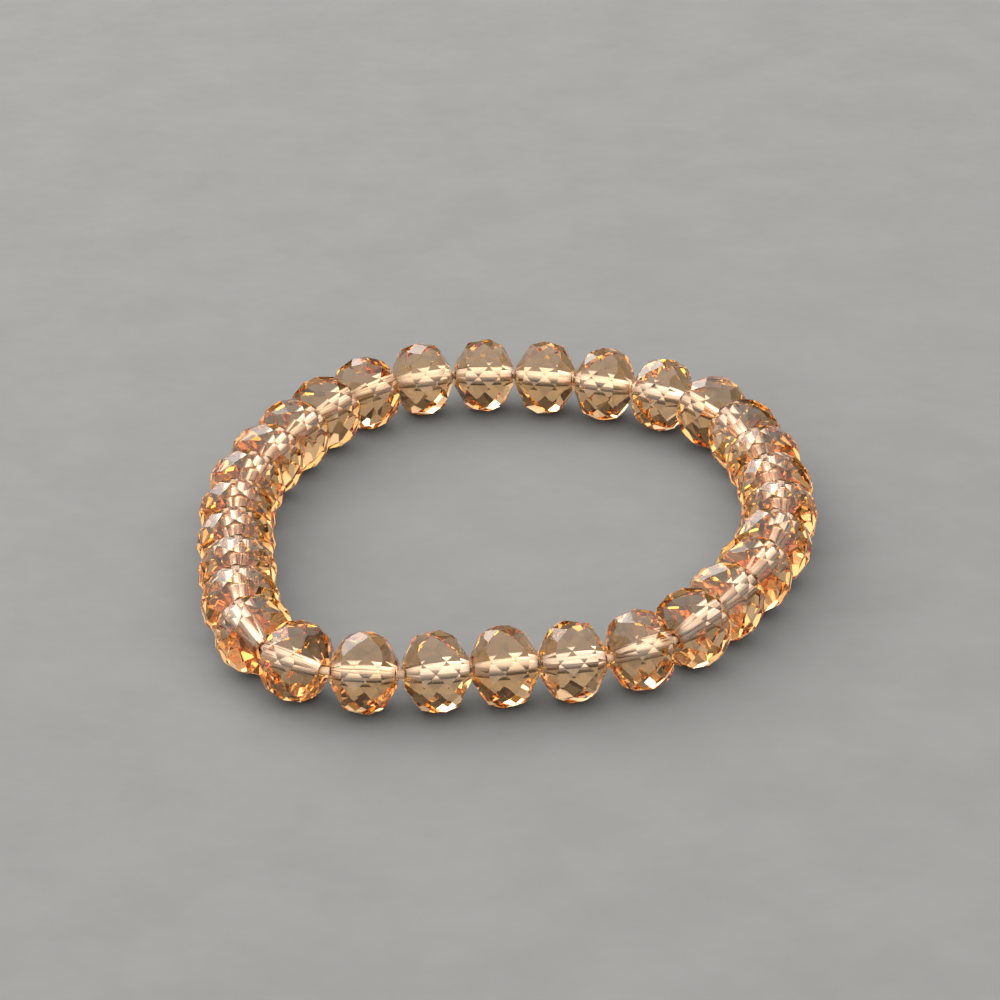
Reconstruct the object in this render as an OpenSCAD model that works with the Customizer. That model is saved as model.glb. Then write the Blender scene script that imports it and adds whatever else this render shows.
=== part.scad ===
// Stretch bracelet of faceted glass rondelles, threaded on one elastic and lying in a loose loop.
// Z is up and the lowest corners of the beads stand on Z = 0. The origin is under the middle of the loop.

/* [Beads] */
// Number of beads on the elastic
bead_count = 30; // [26:1:34]
// Diameter over the girdle corners
bead_d = 8; // [7:0.1:9]
// Length along the bore
bead_len = 6.45; // [5.9:0.05:6.9]
// Diameter over the corners of the flat around each mouth of the bore
end_d = 2.6; // [2.2:0.05:2.9]
// Number of facets in one row around a bead
facet_count = 10; // [9:1:12]
// Distance between the two rings of girdle corners
girdle_w = 1.1; // [0.8:0.05:1.4]
// Distance between the two rings of shoulder corners
shoulder_w = 3.5; // [3.1:0.05:3.9]

/* [Elastic] */
// Diameter of the elastic
elastic_d = 0.8; // [0.6:0.05:0.9]
// Clear space all round the elastic in a bore
bore_clearance = 0.25; // [0.15:0.05:0.3]

/* [Loop] */
// Clear space between neighbours at the inner side of a bend
bead_gap = 0.15; // [0.12:0.01:0.4]
// Turn of a bead about its bore from the one before, in degrees
roll_step = 11; // [1:1:35]

/* [Hidden] */
function bead_name(i) = str("bead_", i < 9 ? "0" : "", i + 1);

// Points that the loop passes through, seen from above, chosen by hand from how it lies.
// The first is the middle of the first bead, and the loop is scaled to hold all the beads.
route = [
    [-0.5, -31.5], [12.5, -28.5], [20, -18.5], [25.5, -5], [25, 12], [20, 24.5], [10.5, 30],
    [-0.5, 32.5], [-11, 31], [-19, 22.5], [-25.5, 6], [-25.5, -10], [-23, -26.5], [-14.5, -33]
];
span_steps = 24;
bore_sides = 48;
elastic_sides = 8;

// Running sum of a list: it starts at 0 and is one longer than the list
function running(v) = [for (i = 0, sum = 0; i <= len(v); sum = sum + (i < len(v) ? v[i] : 0), i = i + 1) sum];
function total(v) = running(v)[len(v)];
// Entry of a list that closes on itself
function wrap(v, i) = v[(i + len(v)) % len(v)];
function unit(v) = v / norm(v);

// One bead: the slopes of its three rows of facets follow from where the rows' corners lie
half_step = 180 / facet_count;
girdle_x = girdle_w / 2;
girdle_r = bead_d / 2;
shoulder_x = shoulder_w / 2;
end_x = bead_len / 2;
end_r = end_d / 2;
girdle_slope = girdle_r * (1 - cos(half_step)) / girdle_w;
shoulder_r = girdle_r - (girdle_x + shoulder_x) * girdle_slope;
shoulder_slope = (girdle_r - shoulder_r * cos(half_step)) / (shoulder_x - girdle_x);
crown_slope = (shoulder_r - end_r * cos(half_step)) / (end_x - shoulder_x);
crown_x = (shoulder_r + crown_slope * shoulder_x - (girdle_r + shoulder_slope * girdle_x) * cos(half_step))
    / (crown_slope - shoulder_slope * cos(half_step));
crown_r = girdle_r + shoulder_slope * (girdle_x - crown_x);

// Rings of corners from one end to the other, as place along the bore, radius, half steps of turn:
// end, crown, shoulder and girdle of one half, then girdle, shoulder, crown and end of the other
RING_X = 0;
RING_R = 1;
RING_TURN = 2;
rings = [
    [-end_x, end_r, 0],
    [-crown_x, crown_r, 0],
    [-shoulder_x, shoulder_r, 1],
    [-girdle_x, girdle_r, 0],
    [girdle_x, girdle_r, 1],
    [shoulder_x, shoulder_r, 0],
    [crown_x, crown_r, 1],
    [end_x, end_r, 1]
];

// Corners of a bead that lies along X and is rolled by an angle
function bead_corners(roll) = [
    for (ring = rings, k = [0:facet_count - 1])
        let (turn = (2 * k + ring[RING_TURN]) * half_step + roll)
            [ring[RING_X], ring[RING_R] * sin(turn), -ring[RING_R] * cos(turn)]
];
function corner(ring, k) = ring * facet_count + (k + facet_count) % facet_count;
// Girdle, shoulder and crown facets, each row on either half of the bead, and the two end flats
bead_facets = [
    for (k = [0:facet_count - 1]) each [
        [corner(3, k), corner(4, k), corner(3, k + 1), corner(2, k)],
        [corner(4, k - 1), corner(5, k), corner(4, k), corner(3, k)],
        [corner(3, k), corner(2, k), corner(1, k), corner(2, k - 1)],
        [corner(4, k), corner(5, k), corner(6, k), corner(5, k + 1)],
        [corner(2, k), corner(1, k + 1), corner(0, k + 1), corner(0, k), corner(1, k)],
        [corner(5, k), corner(6, k - 1), corner(7, k - 1), corner(7, k), corner(6, k)]
    ],
    [for (k = [facet_count - 1:-1:0]) corner(7, k)],
    [for (k = [0:facet_count - 1]) corner(0, k)]
];

// The loop's smooth line through the route's points, with its running length
function between(a, b, c, d, t) =
    (2 * b + (c - a) * t + (2 * a - 5 * b + 4 * c - d) * t * t + (3 * b - a - 3 * c + d) * t * t * t) / 2;
path = [
    for (i = [0:len(route) - 1], s = [0:span_steps - 1])
        between(wrap(route, i - 1), route[i], wrap(route, i + 1), wrap(route, i + 2), s / span_steps)
];
path_at = running([for (i = [0:len(path) - 1]) norm(wrap(path, i + 1) - path[i])]);
path_len = path_at[len(path)];
path_x = [for (i = [0:len(path)]) [path_at[i], wrap(path, i).x]];
path_y = [for (i = [0:len(path)]) [path_at[i], wrap(path, i).y]];
function along(s) = let (at = (s + path_len) % path_len) [lookup(at, path_x), lookup(at, path_y)];

// Joints between beads on that line, a bead taking its share of the length; the first bead starts half before
function joints(shares) = let (start = running(shares), step = path_len / total(shares))
    [for (i = [0:bead_count - 1]) along((start[i] - shares[0] / 2) * step)];
function heading(p, i) = let (d = wrap(p, i + 1) - wrap(p, i)) atan2(d.y, d.x);
function bend(p, i) = abs((heading(p, i) - heading(p, i - 1) + 540) % 360 - 180);
// From a joint to the end of either bead: half the gap, and what the bend takes at the rim
function stand_off(p, i) = bead_gap / 2 + end_r * tan(bend(p, i) / 2);
// Line that each bead needs: itself, its two stand-offs, and what the line gains on the straight way
function needs(shares) = let (p = joints(shares), step = path_len / total(shares)) [
    for (i = [0:bead_count - 1])
        stand_off(p, i) + bead_len + stand_off(p, i + 1) + shares[i] * step - norm(wrap(p, i + 1) - p[i])
];
// Even shares first, then twice what the beads need where that puts them
bead_shares = needs(needs([for (i = [1:bead_count]) 1]));
loop_scale = total(bead_shares) / path_len;
loop_joints = loop_scale * joints(bead_shares);

function bead_roll(i) = i * roll_step;
function bead_turn(i) = heading(loop_joints, i);
function bead_middle(i) = loop_joints[i]
    + (stand_off(loop_joints, i) + end_x) * [cos(bead_turn(i)), sin(bead_turn(i))];
// Height of a bore above the surface, with the bead on its lowest girdle corner
function bead_rise(i) = let (past = bead_roll(i) % half_step) girdle_r * cos(min(past, half_step - past));

all_corners = [
    for (i = [0:bead_count - 1], p = bead_corners(bead_roll(i)))
        bead_middle(i) + [
            p.x * cos(bead_turn(i)) - p.y * sin(bead_turn(i)),
            p.x * sin(bead_turn(i)) + p.y * cos(bead_turn(i))
        ]
];
all_x = [for (p = all_corners) p.x];
all_y = [for (p = all_corners) p.y];
loop_middle = [min(all_x) + max(all_x), min(all_y) + max(all_y)] / 2;

bore_d = elastic_d + 2 * bore_clearance;

module bead(i) {
    at = bead_middle(i) - loop_middle;
    color([0.93, 0.76, 0.62, 0.6])
        translate([at.x, at.y, bead_rise(i)])
            rotate([0, 0, bead_turn(i)])
                difference() {
                    polyhedron(bead_corners(bead_roll(i)), bead_facets);
                    rotate([0, 90, 0])
                        cylinder(h = 2 * bead_len, d = bore_d, center = true, $fn = bore_sides);
                }
}

// The elastic runs straight through each bore and turns at the joints
function elastic_ring(i) = let (
    at = loop_joints[i] - loop_middle,
    ahead = wrap(loop_joints, i + 1) - loop_joints[i],
    behind = loop_joints[i] - wrap(loop_joints, i - 1),
    run = unit(unit(ahead) + unit(behind)),
    rise = (bead_rise(i) + bead_rise(i > 0 ? i - 1 : bead_count - 1)) / 2
) [
    for (k = [0:elastic_sides - 1])
        let (turn = 360 * (k + 0.5) / elastic_sides, out = elastic_d / 2 * cos(turn))
            [at.x - out * run.y, at.y + out * run.x, rise + elastic_d / 2 * sin(turn)]
];

module elastic() {
    last = bead_count * elastic_sides;
    color([0.95, 0.93, 0.9])
        polyhedron(
            [for (i = [0:bead_count - 1]) each elastic_ring(i)],
            [
                for (i = [0:bead_count - 1], k = [0:elastic_sides - 1])
                    let (a = i * elastic_sides, b = (a + elastic_sides) % last, n = (k + 1) % elastic_sides)
                        [a + k, b + k, b + n, a + n]
            ]
        );
}

for (i = [0:bead_count - 1])
    bead(i);
elastic();
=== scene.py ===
# %% [markdown]
# # A stretch bracelet of cut glass beads
# Thirty glass rondelles sit on one elastic and lie in a loose loop. Each bead is a short, round block of
# peach-tinted glass, ground to 62 flat facets and drilled along its middle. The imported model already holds
# every bead and the elastic at true size, so it is loaded first and the finish is built around it.

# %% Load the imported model
import math
import random

import bmesh
import bpy
from mathutils import Euler, Matrix, Vector


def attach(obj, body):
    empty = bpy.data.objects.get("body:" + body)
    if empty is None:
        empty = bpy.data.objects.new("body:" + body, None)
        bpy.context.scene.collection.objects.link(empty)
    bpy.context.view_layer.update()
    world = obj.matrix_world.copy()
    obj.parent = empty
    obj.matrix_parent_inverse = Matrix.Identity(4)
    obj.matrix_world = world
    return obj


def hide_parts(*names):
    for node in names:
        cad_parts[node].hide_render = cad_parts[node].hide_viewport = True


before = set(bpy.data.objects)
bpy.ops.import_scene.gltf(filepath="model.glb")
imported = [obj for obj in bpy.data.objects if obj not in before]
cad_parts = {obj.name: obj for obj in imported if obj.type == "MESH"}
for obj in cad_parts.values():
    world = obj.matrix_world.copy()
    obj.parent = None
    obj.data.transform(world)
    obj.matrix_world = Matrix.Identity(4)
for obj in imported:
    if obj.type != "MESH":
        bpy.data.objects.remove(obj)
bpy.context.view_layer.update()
MM = 0.001
bead_names = sorted(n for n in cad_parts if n.startswith("bead_"))

# %% [markdown]
# ## Into the scene
# Whatever shows in Blender is an object that holds some data, and it shows only once it is linked to the
# scene. A piece is first drawn up as a bmesh, which operators can cut and bridge, and then poured into the
# plain mesh that its object holds. The object stays at the origin and the place is in the mesh: a pattern
# that reads Object coordinates can't slide then.

# %% Two helpers for new objects
def add_object(name, data):
    made = bpy.data.objects.new(name, data)
    bpy.context.scene.collection.objects.link(made)
    return made


def pour(name, bm, materials):
    """Turns a bmesh that is done into an object with its materials."""
    mesh = bpy.data.meshes.new(name)
    bm.to_mesh(mesh)
    bm.free()
    for material in materials:
        mesh.materials.append(material)
    return add_object(name, mesh)


# %% [markdown]
# ## Camera
# The bracelet was seen from a little above, looking down at about 25 degrees, with a long lens from less
# than half a metre away. A long lens keeps the far beads almost as large as the near ones. The camera is
# placed by the point it looks at, its distance and its slope, so each can be changed alone.

# %% Set the camera
LOOK_AT = Vector((-0.87, 3.14, 4.0)) * MM
SLOPE = math.radians(25.6)
DISTANCE = 444 * MM
LENS = 154.2
SENSOR = 36.0
NEAREST = 0.01  # metres, well short of the nearest bead

camera = add_object("camera", bpy.data.cameras.new("camera"))
camera.data.lens = LENS
camera.data.sensor_width = SENSOR
camera.data.clip_start = NEAREST
camera.location = LOOK_AT + DISTANCE * Vector((0.0, -math.cos(SLOPE), math.sin(SLOPE)))
camera.rotation_euler = (math.pi / 2 - SLOPE, 0.0, 0.0)
bpy.context.scene.camera = camera
print("camera at", [round(v / MM, 1) for v in camera.location], "mm")

# %% [markdown]
# ## Where each bead lies
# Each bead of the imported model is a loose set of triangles, but its own shape tells how it lies. It is
# shortest along its bore, and its corners stand furthest from the bore at the girdle. Reading this from the
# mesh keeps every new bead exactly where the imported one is, with no copied coordinates.

# %% Read a bead's place from its mesh
LEVEL = 1e-4  # most that a level facet's normal may rise
GIRDLE_SHARE = 0.9999  # of the full reach, for a corner at the girdle


def extent(points, direction):
    """Lowest and highest place of the points along a direction."""
    along = [p.dot(direction) for p in points]
    return min(along), max(along)


def length_along(points, direction):
    low, high = extent(points, direction)
    return high - low


def bead_place(node):
    """Matrix to this bead from one along X that has a girdle corner of its -X half straight down."""
    points = [v.co.copy() for v in node.data.vertices]
    level = [p.normal.copy() for p in node.data.polygons if abs(p.normal.z) < LEVEL]
    bore = min(level, key=lambda d: round(length_along(points, d), 7))
    bore = Vector((bore.x, bore.y, 0.0)).normalized()
    axes = (bore, Vector((-bore.y, bore.x, 0.0)), Vector((0.0, 0.0, 1.0)))
    middle = sum((d * sum(extent(points, d)) / 2 for d in axes), Vector())
    turned = [Vector((p - middle).dot(d) for d in axes) for p in points]
    reach = max(math.hypot(p.y, p.z) for p in turned)
    girdle = [p for p in turned if p.x < 0 and math.hypot(p.y, p.z) > reach * GIRDLE_SHARE]
    lowest = min(girdle, key=lambda p: p.z)
    roll = math.atan2(lowest.y, -lowest.z)
    turn = Matrix(axes).transposed().to_4x4()
    return Matrix.Translation(middle) @ turn @ Matrix.Rotation(roll, 4, "X")


places = {name: bead_place(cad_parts[name]) for name in bead_names}
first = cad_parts[bead_names[0]]
local = [places[bead_names[0]].inverted() @ v.co for v in first.data.vertices]
BEAD_LENGTH = 2 * max(p.x for p in local)
GIRDLE_RADIUS = max(math.hypot(p.y, p.z) for p in local)
print("bead", round(GIRDLE_RADIUS * 2 / MM, 3), "mm across,", round(BEAD_LENGTH / MM, 3), "mm long")

# %% [markdown]
# ## Slopes of the facets
# Three rows of facets run round each half of a bead: ten diamonds at the girdle, ten on the shoulder and ten
# five-sided facets on the crown. Angles typed in for them would leave slivers, because the rows meet in
# shared corners. So only the rings of corners are given, and each row's slope follows from the two rings
# it runs between. The 0 or 1 after a row says whether it starts on a corner or half a step past it.

# %% Slopes of the three rows
FACETS = 10
HALF_STEP = math.pi / FACETS
GIRDLE_X = 0.55 * MM
SHOULDER_X = 1.75 * MM
END_RADIUS = 1.3 * MM
END_X = BEAD_LENGTH / 2


def row(slope, x, radius):
    """Facets of one slope through a corner at x and radius from the bore.

    Gives their normal's share along the bore, its share outwards, and their distance from the middle.
    """
    tilt = math.atan(slope)
    return math.sin(tilt), math.cos(tilt), x * math.sin(tilt) + radius * math.cos(tilt)


girdle_slope = GIRDLE_RADIUS * (1 - math.cos(HALF_STEP)) / (2 * GIRDLE_X)
shoulder_radius = GIRDLE_RADIUS - (GIRDLE_X + SHOULDER_X) * girdle_slope
shoulder_slope = (GIRDLE_RADIUS - shoulder_radius * math.cos(HALF_STEP)) / (SHOULDER_X - GIRDLE_X)
crown_slope = (shoulder_radius - END_RADIUS * math.cos(HALF_STEP)) / (END_X - SHOULDER_X)
rows = {
    "girdle": (row(girdle_slope, -GIRDLE_X, GIRDLE_RADIUS), 0),
    "shoulder": (row(shoulder_slope, GIRDLE_X, GIRDLE_RADIUS), 1),
    "crown": (row(crown_slope, SHOULDER_X, shoulder_radius), 0),
}
for name, (values, _) in rows.items():
    print(name, "facets slope", round(math.degrees(math.asin(values[0])), 1), "degrees")

# %% [markdown]
# ## A bead, ground facet by facet
# On the real bead a blank of glass is pressed to a grinding wheel once for every facet. The same can be done
# here: a block is cut by one plane after another with bisect_plane, and the open cut is closed by a new flat
# face. A lathe profile or a decimated sphere would be quicker, but neither gives facets that are truly flat
# and meet in shared corners, and those corners are what makes cut glass sparkle. No grinder sets every facet
# alike, so each is cut up to 0.02 mm too deep and up to about half a degree off its slope. That breaks up
# the even star that a perfect bead would show, as it does on the real one.

# %% Grind one blank
GRIND_ERROR = 0.02 * MM
TILT_ERROR = math.radians(0.6)
BLANK_SIZE = 2.2 * GIRDLE_RADIUS
SNAP = 1e-8  # a corner this close to a cut counts as on it
SEED = 5


def grind(bm, point, normal):
    """Cuts off what lies outside a plane and closes the cut with a flat face."""
    geometry = bm.verts[:] + bm.edges[:] + bm.faces[:]
    cut = bmesh.ops.bisect_plane(
        bm, geom=geometry, plane_co=point, plane_no=normal, dist=SNAP, clear_outer=True
    )["geom_cut"]
    rim = [e for e in cut if isinstance(e, bmesh.types.BMEdge)]
    if rim:
        bmesh.ops.contextual_create(bm, geom=rim)


def cut_blank(rng):
    """A bead's outside, lying along X, with its facets a hair off their true depth and slope."""
    bm = bmesh.new()
    bmesh.ops.create_cube(bm, size=BLANK_SIZE)
    for side in (1, -1):
        grind(bm, Vector((side * END_X, 0, 0)), Vector((side, 0, 0)))
        for (along, out, depth), odd in rows.values():
            for k in range(FACETS):
                turn = (2 * k + (odd if side > 0 else 1 - odd)) * HALF_STEP
                normal = Vector((side * along, out * math.sin(turn), -out * math.cos(turn)))
                middle = normal * (depth - GRIND_ERROR * rng.random())
                wobble = [rng.uniform(-TILT_ERROR, TILT_ERROR) for _ in range(3)]
                normal.rotate(Euler(wobble))
                grind(bm, middle, normal)
    return bm


sample = cut_blank(random.Random(SEED))
print("one blank:", len(sample.faces), "faces")
sample.free()

# %% [markdown]
# ## The bore
# A drill leaves a round hole with a slightly chipped, dull lip. Each end flat is inset, its inner edge is
# divided and pushed out to a circle, and a second, sinking inset makes the lip. The two round faces are then
# taken out and bridged, which leaves one clean tube through the bead. A boolean cut would do it too, but it
# leaves ragged triangles round the mouth. The last 0.6 mm at each mouth stays clear glass: light gets in
# there from the end, and a satin wall right up to the mouth would show as a dark hole.

# %% Drill a blank
BORE_RADIUS = 0.65 * MM
LIP = 0.06 * MM
FLAT_INSET = 0.3 * MM
CLEAR_END = 0.6 * MM
WALL_REACH = 1.05 * BORE_RADIUS  # past the wall, short of the lip's outer edge
CUTS_PER_EDGE = 3
CUTS_ALONG = 4


def open_mouth(bm, side):
    """Turns the end flat on one side into a flat with a round, chamfered mouth; returns the mouth's face."""
    flat = max(bm.faces, key=lambda f: side * f.calc_center_median().x)
    bmesh.ops.inset_individual(bm, faces=[flat], thickness=FLAT_INSET)
    bmesh.ops.bisect_edges(bm, edges=list(flat.edges), cuts=CUTS_PER_EDGE)
    for v in flat.verts:
        stretch = (BORE_RADIUS + LIP) / math.hypot(v.co.y, v.co.z)
        v.co.y *= stretch
        v.co.z *= stretch
    bmesh.ops.inset_individual(bm, faces=[flat], thickness=LIP, depth=-LIP)
    return flat


def wall_faces(bm):
    """Faces of the bore's wall, none of which reaches the lip's outer edge."""
    return [f for f in bm.faces if all(math.hypot(v.co.y, v.co.z) < WALL_REACH for v in f.verts)]


def drill(bm):
    """Lines the hole from mouth to mouth; its wall gets the second material, except close to the mouths."""
    mouths = [open_mouth(bm, side) for side in (1, -1)]
    loops = [e for f in mouths for e in f.edges]
    bmesh.ops.delete(bm, geom=mouths, context="FACES_ONLY")
    wall = bmesh.ops.bridge_loops(bm, edges=loops)
    lengthwise = dict.fromkeys(e for f in wall["faces"] for e in f.edges if e not in loops)
    bmesh.ops.subdivide_edges(bm, edges=list(lengthwise), cuts=CUTS_ALONG, use_grid_fill=True)
    for side in (1, -1):
        inside = wall_faces(bm)
        parts = inside + [e for f in inside for e in f.edges] + [v for f in inside for v in f.verts]
        cut = Vector((side * (END_X - CLEAR_END), 0, 0))
        bmesh.ops.bisect_plane(
            bm, geom=list(dict.fromkeys(parts)), plane_co=cut, plane_no=Vector((1, 0, 0)), dist=SNAP
        )
    for face in wall_faces(bm):
        face.smooth = True
        if abs(face.calc_center_median().x) < END_X - CLEAR_END:
            face.material_index = 1


print("bore", 2 * BORE_RADIUS / MM, "mm wide, with clear ends of", CLEAR_END / MM, "mm")

# %% [markdown]
# ## A map of the wall
# The marks that a drill leaves run along the bore, so their pattern has to follow the wall. Object
# coordinates can't do that for beads that point every way. The wall is unrolled into a flat map instead:
# the way round and the way along become its two directions. Each bead starts at another place of the
# pattern, so no two show the same streaks.

# %% Unroll a bore
FARTHEST_START = 40  # bead lengths


def unroll_bore(bm, start):
    """Gives the bore a map of its own: once round is 1 in u, the bead's length is 1 in v."""
    layer = bm.loops.layers.uv.new("bore")
    for face in bm.faces:
        if face.material_index == 1:
            middle = face.calc_center_median()
            centre = math.atan2(middle.y, middle.z)
            for loop in face.loops:
                turn = math.atan2(loop.vert.co.y, loop.vert.co.z)
                turn += math.tau * round((centre - turn) / math.tau)
                loop[layer].uv = (turn / math.tau, loop.vert.co.x / BEAD_LENGTH + start)


print("the map covers", [round(side / MM, 2) for side in (math.tau * BORE_RADIUS, BEAD_LENGTH)], "mm of wall")

# %% [markdown]
# ## What the materials share
# A material is a small tree of nodes round one shader, and nothing real is the same all over. Noise gives
# each surface its unevenness: remapped to a narrow range it varies the gloss, and as a height it gives
# relief. Painted textures would need maps for every piece, while noise in the piece's own metres has the
# right scale everywhere.

# %% Helpers for materials
def new_material(name):
    """Material with its tree of nodes and its shader."""
    material = bpy.data.materials.new(name)
    material.use_nodes = True
    return material, material.node_tree, material.node_tree.nodes["Principled BSDF"]


def noise(tree, scale, detail):
    """Noise in the part's own metres: scale 1000 gives blotches of about a millimetre."""
    where = tree.nodes.new("ShaderNodeTexCoord")
    texture = tree.nodes.new("ShaderNodeTexNoise")
    texture.inputs["Scale"].default_value = scale
    texture.inputs["Detail"].default_value = detail
    tree.links.new(where.outputs["Object"], texture.inputs["Vector"])
    return texture.outputs["Fac"]


def remap(tree, value, low, high, start=0.35, end=0.65):
    """Stretches the part of a value between start and end to run from low to high."""
    ranged = tree.nodes.new("ShaderNodeMapRange")
    ranged.inputs["From Min"].default_value = start
    ranged.inputs["From Max"].default_value = end
    ranged.inputs["To Min"].default_value = low
    ranged.inputs["To Max"].default_value = high
    tree.links.new(value, ranged.inputs["Value"])
    return ranged.outputs["Result"]


def add_relief(tree, shader, height, distance, strength):
    relief = tree.nodes.new("ShaderNodeBump")
    relief.inputs["Distance"].default_value = distance
    relief.inputs["Strength"].default_value = strength
    tree.links.new(height, relief.inputs["Height"])
    tree.links.new(relief.outputs["Normal"], shader.inputs["Normal"])


def shade(tree, value, stops):
    """Colour by value: each stop is a place and the colour there, in rising order."""
    ramp = tree.nodes.new("ShaderNodeValToRGB")
    elements = ramp.color_ramp.elements
    while len(elements) < len(stops):
        elements.new(1.0)
    for element, (place, colour) in zip(elements, stops):
        element.position = place
        element.color = (*colour, 1.0)
    tree.links.new(value, ramp.inputs["Fac"])
    return ramp.outputs["Color"]


# %% [markdown]
# ## Glass
# The glass is tinted through and through, so a short path stays almost clear and a long one, bounced from
# facet to facet near the rim, turns amber. That comes from golden absorption in the volume. The bead is also
# faintly pink wherever light passes its skin, which a surface colour gives: one tint alone turned either the
# clear middle too yellow or the rims too red. Batches of glass differ a little in strength, so three are
# mixed. Polished facets are never quite flat: a faint, wide waviness bends what is seen through them, and
# finer smears dull the gloss here and there.

# %% Glass material
SKIN_PINK = (1.0, 0.82, 0.82, 1.0)
DEPTH_GOLD = (0.95, 0.69, 0.01, 1.0)
TINT_PER_METRE = {"a": 118.0, "b": 129.0, "c": 142.0}


def glass_material(batch):
    material, tree, shader = new_material(f"peach_glass_{batch}")
    shader.inputs["Base Color"].default_value = SKIN_PINK
    shader.inputs["IOR"].default_value = 1.55
    shader.inputs["Transmission Weight"].default_value = 1.0
    smears = remap(tree, noise(tree, scale=600.0, detail=4.0), low=0.0, high=0.02)
    tree.links.new(smears, shader.inputs["Roughness"])
    add_relief(tree, shader, noise(tree, scale=350.0, detail=1.0), distance=0.02 * MM, strength=0.15)
    absorb = tree.nodes.new("ShaderNodeVolumeAbsorption")
    absorb.inputs["Color"].default_value = DEPTH_GOLD
    absorb.inputs["Density"].default_value = TINT_PER_METRE[batch]
    tree.links.new(absorb.outputs["Volume"], tree.nodes["Material Output"].inputs["Volume"])
    return material


batches = [glass_material(batch) for batch in TINT_PER_METRE]
print(len(batches), "batches of glass")

# %% [markdown]
# ## Bore wall
# Seen through the glass, the wall of the hole acts as a mirror, because light that meets it at a shallow
# angle can't leave the glass. That is the bright, streaked band along each bead. A clear wall would need very
# many light bounces to show this, and an exported model would lose it, so the wall gets a satin mirror
# finish in cool white, which the golden glass in front of it warms again. Drill marks run along the bore:
# noise is stretched along the wall's own map, and it steers how dull the wall is and its fine relief. The
# same noise also paints a few dark streaks into the mirror's colour: painted reflections of dark
# surroundings.

# %% Bore material
STREAKS_ROUND = 14.0
STREAKS_ALONG = 0.6
# Colour of the mirror: where the drill-mark noise is low, dark streaks are painted in as reflections of dark
# surroundings.
MIRROR_AND_PAINTED_STREAK_STOPS = ((0.34, (0.25, 0.23, 0.22)), (0.4, (0.86, 0.89, 1.0)))


def bore_material():
    material, tree, shader = new_material("satin_bore")
    shader.inputs["Metallic"].default_value = 1.0
    unrolled = tree.nodes.new("ShaderNodeUVMap")
    unrolled.uv_map = "bore"
    drawn_out = tree.nodes.new("ShaderNodeMapping")
    drawn_out.inputs["Scale"].default_value = (STREAKS_ROUND, STREAKS_ALONG, 1.0)
    streaks = tree.nodes.new("ShaderNodeTexNoise")
    streaks.inputs["Scale"].default_value = 1.0
    streaks.inputs["Detail"].default_value = 3.0
    tree.links.new(unrolled.outputs["UV"], drawn_out.inputs["Vector"])
    tree.links.new(drawn_out.outputs["Vector"], streaks.inputs["Vector"])
    marks_and_painted_streaks = streaks.outputs["Fac"]
    # Painted reflection: the ramp's dark stop paints dark streaks into the mirror's base colour.
    tree.links.new(shade(tree, marks_and_painted_streaks, MIRROR_AND_PAINTED_STREAK_STOPS), shader.inputs["Base Color"])
    tree.links.new(remap(tree, marks_and_painted_streaks, low=0.15, high=0.5, start=0.4, end=0.6), shader.inputs["Roughness"])
    add_relief(tree, shader, marks_and_painted_streaks, distance=0.08 * MM, strength=0.5)
    return material


bore = bore_material()
print("bore wall:", len(bore.node_tree.nodes), "nodes")

# %% [markdown]
# ## All the beads
# Each bead is ground anew, because no two real ones are alike, and copies would flash in step. The outside's
# edges are noted before the drilling, so that the bevel rounds them alone: on real beads the edges between
# facets are crisp, but never knife-sharp, and a rounding of 0.03 mm is enough to catch a thin line of light.
# The bead is shaped along X and then moved into its place, mesh and all.

# %% Cut the beads
EDGE_ROUND = 0.03 * MM


def make_bead(name, rng, materials):
    """Grinds, drills and rounds one bead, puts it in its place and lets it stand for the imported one."""
    bm = cut_blank(rng)
    bmesh.ops.recalc_face_normals(bm, faces=bm.faces[:])
    sharp = bm.edges[:]
    drill(bm)
    bmesh.ops.bevel(
        bm, geom=sharp, offset=EDGE_ROUND, segments=1, profile=0.5, affect="EDGES", material=-1,
        clamp_overlap=True,
    )
    unroll_bore(bm, rng.uniform(0, FARTHEST_START))
    bm.transform(places[name])
    piece = pour("cut_" + name, bm, materials)
    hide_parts(name)
    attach(piece, "root")
    return piece


rng = random.Random(SEED)
beads = [make_bead(name, rng, (rng.choice(batches), bore)) for name in bead_names]
print(len(beads), "beads of", len(beads[0].data.polygons), "faces")

# %% [markdown]
# ## Elastic
# One round stretch thread runs through all the bores and bends only in the short gaps between beads. It could
# be a curve with a round section, but rings of edges that are bridged one to the next give the same tube as
# plain faces, closed on itself. It is hardly seen: at each gap it shows as a tan neck. Its warm, bright
# colour
# is painted light: the thread itself is nearly clear, and the tan stands for the amber light that the beads
# on both sides throw on it, which the render leaves out. It is left solid to show through the glass as well.

# %% Thread the elastic
ELASTIC_RADIUS = 0.4 * MM
ELASTIC_SIDES = 16
STATIONS = (-1.0, -0.5, 0.0, 0.5, 1.0)


def elastic_line():
    """Points that the elastic runs through: five on each bore, from mouth to mouth, in the beads' order."""
    ordered = [places[n] for n in bead_names]
    middles = [p.translation for p in ordered]
    points = []
    for i, place in enumerate(ordered):
        ahead = (middles[(i + 1) % len(middles)] - middles[i - 1]).normalized()
        bore_way = (place.to_3x3() @ Vector((1, 0, 0))).normalized()
        if bore_way.dot(ahead) < 0:
            bore_way = -bore_way
        for share in STATIONS:
            points.append(middles[i] + bore_way * END_X * share)
    return points


def elastic_material():
    material, tree, shader = new_material("elastic_thread")
    # Painted light: this bright tan stands for the amber light that the beads throw on the nearly clear
    # thread.
    shader.inputs["Base Color"].default_value = (1.0, 0.62, 0.36, 1.0)
    shader.inputs["IOR"].default_value = 1.45
    dull = remap(tree, noise(tree, scale=2500.0, detail=3.0), low=0.15, high=0.35)
    tree.links.new(dull, shader.inputs["Roughness"])
    add_relief(tree, shader, noise(tree, scale=4000.0, detail=2.0), distance=0.02 * MM, strength=0.4)
    return material


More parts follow.
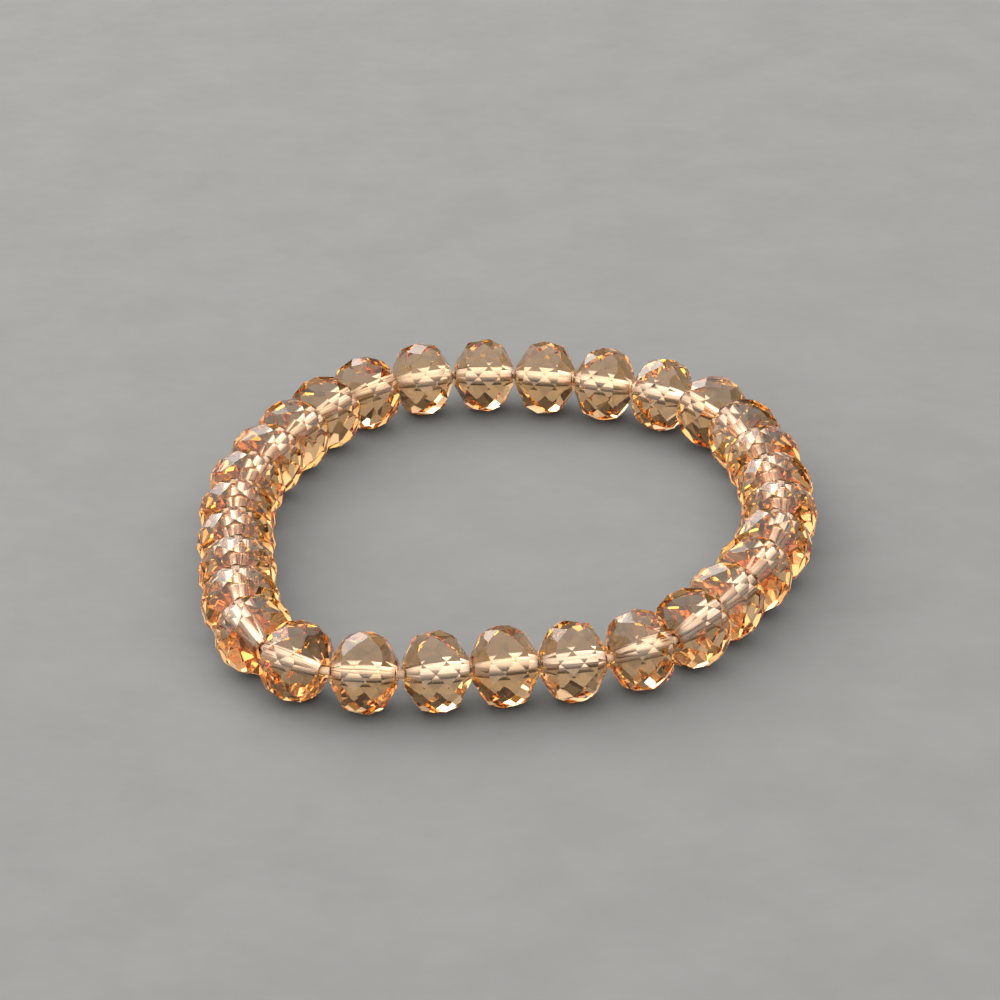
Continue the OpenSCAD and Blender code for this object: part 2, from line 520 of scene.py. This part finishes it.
def make_elastic():
    """Sets a ring square to the line at each point and bridges the rings into one closed loop."""
    points = elastic_line()
    bm = bmesh.new()
    rings = []
    for i, point in enumerate(points):
        ahead = (points[(i + 1) % len(points)] - points[i - 1]).normalized()
        turn = Matrix.Translation(point) @ ahead.to_track_quat("Z", "Y").to_matrix().to_4x4()
        made = bmesh.ops.create_circle(bm, segments=ELASTIC_SIDES, radius=ELASTIC_RADIUS, matrix=turn)
        rings.append(list(dict.fromkeys(e for v in made["verts"] for e in v.link_edges)))
    for one, other in zip(rings, rings[1:] + rings[:1]):
        bmesh.ops.bridge_loops(bm, edges=one + other)
    for face in bm.faces:
        face.smooth = True
    bmesh.ops.recalc_face_normals(bm, faces=bm.faces[:])
    piece = pour("elastic_thread", bm, [elastic_material()])
    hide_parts("elastic")
    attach(piece, "root")
    return piece


thread = make_elastic()
print("elastic:", len(thread.data.polygons), "faces")

# %% [markdown]
# ## Floor
# The bracelet lies on a plain pale floor, which takes its shadow and shows through the glass. One flat face
# is enough for it. It is very faintly mottled and grained, as any painted board is, because a perfectly even
# grey looks like no surface at all.

# %% Floor
FLOOR_HALF = 1.5

bm = bmesh.new()
bmesh.ops.create_grid(bm, x_segments=1, y_segments=1, size=FLOOR_HALF)
material, tree, shader = new_material("floor")
mottle = tree.nodes.new("ShaderNodeMix")
mottle.data_type = "RGBA"
mottle.inputs["A"].default_value = (0.186, 0.184, 0.179, 1.0)
mottle.inputs["B"].default_value = (0.199, 0.197, 0.192, 1.0)
blotches = remap(tree, noise(tree, scale=90.0, detail=6.0), low=0.0, high=1.0)
tree.links.new(blotches, mottle.inputs["Factor"])
tree.links.new(mottle.outputs["Result"], shader.inputs["Base Color"])
dull = remap(tree, noise(tree, scale=400.0, detail=3.0), low=0.85, high=0.95)
tree.links.new(dull, shader.inputs["Roughness"])
add_relief(tree, shader, noise(tree, scale=1500.0, detail=3.0), distance=0.03 * MM, strength=0.3)
floor = pour("floor", bm, [material])
print("floor:", 2 * FLOOR_HALF, "m across")

# %% [markdown]
# ## Sky
# Cut glass shows its surroundings more than its own colour, so the light is shaped with care. A sky that is
# white above and falls off to dark at the horizon gives every facet a different grey. It leans to the front
# and the left: every direction is measured against one tilted direction, and the result picks the grey. A
# panorama of a room would do as well, but it can't be changed a little at a time.

# %% Sky
WHITEST_AT = (-0.3, -0.25, 0.92)
SKY_STOPS = ((0.06, (0.03, 0.03, 0.03)), (0.22, (0.75, 0.745, 0.74)), (0.6, (1.0, 0.99, 0.98)))
SKY_STRENGTH = 1.85

world = bpy.data.worlds.new("studio")
world.use_nodes = True
sky = world.node_tree
background = sky.nodes["Background"]
direction = sky.nodes.new("ShaderNodeTexCoord")
height = sky.nodes.new("ShaderNodeVectorMath")
height.operation = "DOT_PRODUCT"
height.inputs[1].default_value = WHITEST_AT
sky.links.new(direction.outputs["Generated"], height.inputs[0])
sky.links.new(shade(sky, height.outputs["Value"], SKY_STOPS), background.inputs["Color"])
background.inputs["Strength"].default_value = SKY_STRENGTH
bpy.context.scene.world = world
print("sky:", len(SKY_STOPS), "greys, strength", SKY_STRENGTH)

# %% [markdown]
# ## Window
# One large window behind on the left makes the low facets flash on one side only. Many small lamps would
# have given more sparkle, but also hard spots that soft daylight doesn't have. A ray that crosses several
# beads passes many faces of glass, so it is allowed 20 bounces. Light that glass gathers into bright patches
# is left out, because it takes long to settle and leaves specks.

# %% Window and light paths
WINDOW_AT = Vector((-0.45, 0.6, 0.5))
WINDOW_SIZE = (0.7, 0.5)
WINDOW_BRIGHTNESS = 3.2
BOUNCES = 20
MIRROR_BOUNCES = 16

window = bpy.data.lights.new("window", "AREA")
window.shape = "RECTANGLE"
window.size, window.size_y = WINDOW_SIZE
window.energy = WINDOW_BRIGHTNESS * math.pi * WINDOW_SIZE[0] * WINDOW_SIZE[1]
window.color = (1.0, 0.98, 0.95)
lamp = add_object("window", window)
lamp.location = WINDOW_AT
lamp.rotation_euler = (LOOK_AT - WINDOW_AT).to_track_quat("-Z", "Y").to_euler()
bpy.context.scene.view_settings.view_transform = "Standard"
cycles = bpy.context.scene.cycles
cycles.max_bounces = BOUNCES
cycles.glossy_bounces = MIRROR_BOUNCES
cycles.transmission_bounces = BOUNCES
cycles.caustics_refractive = False
cycles.caustics_reflective = False
print("window:", round(window.energy, 2), "W, light paths of", cycles.max_bounces, "bounces")
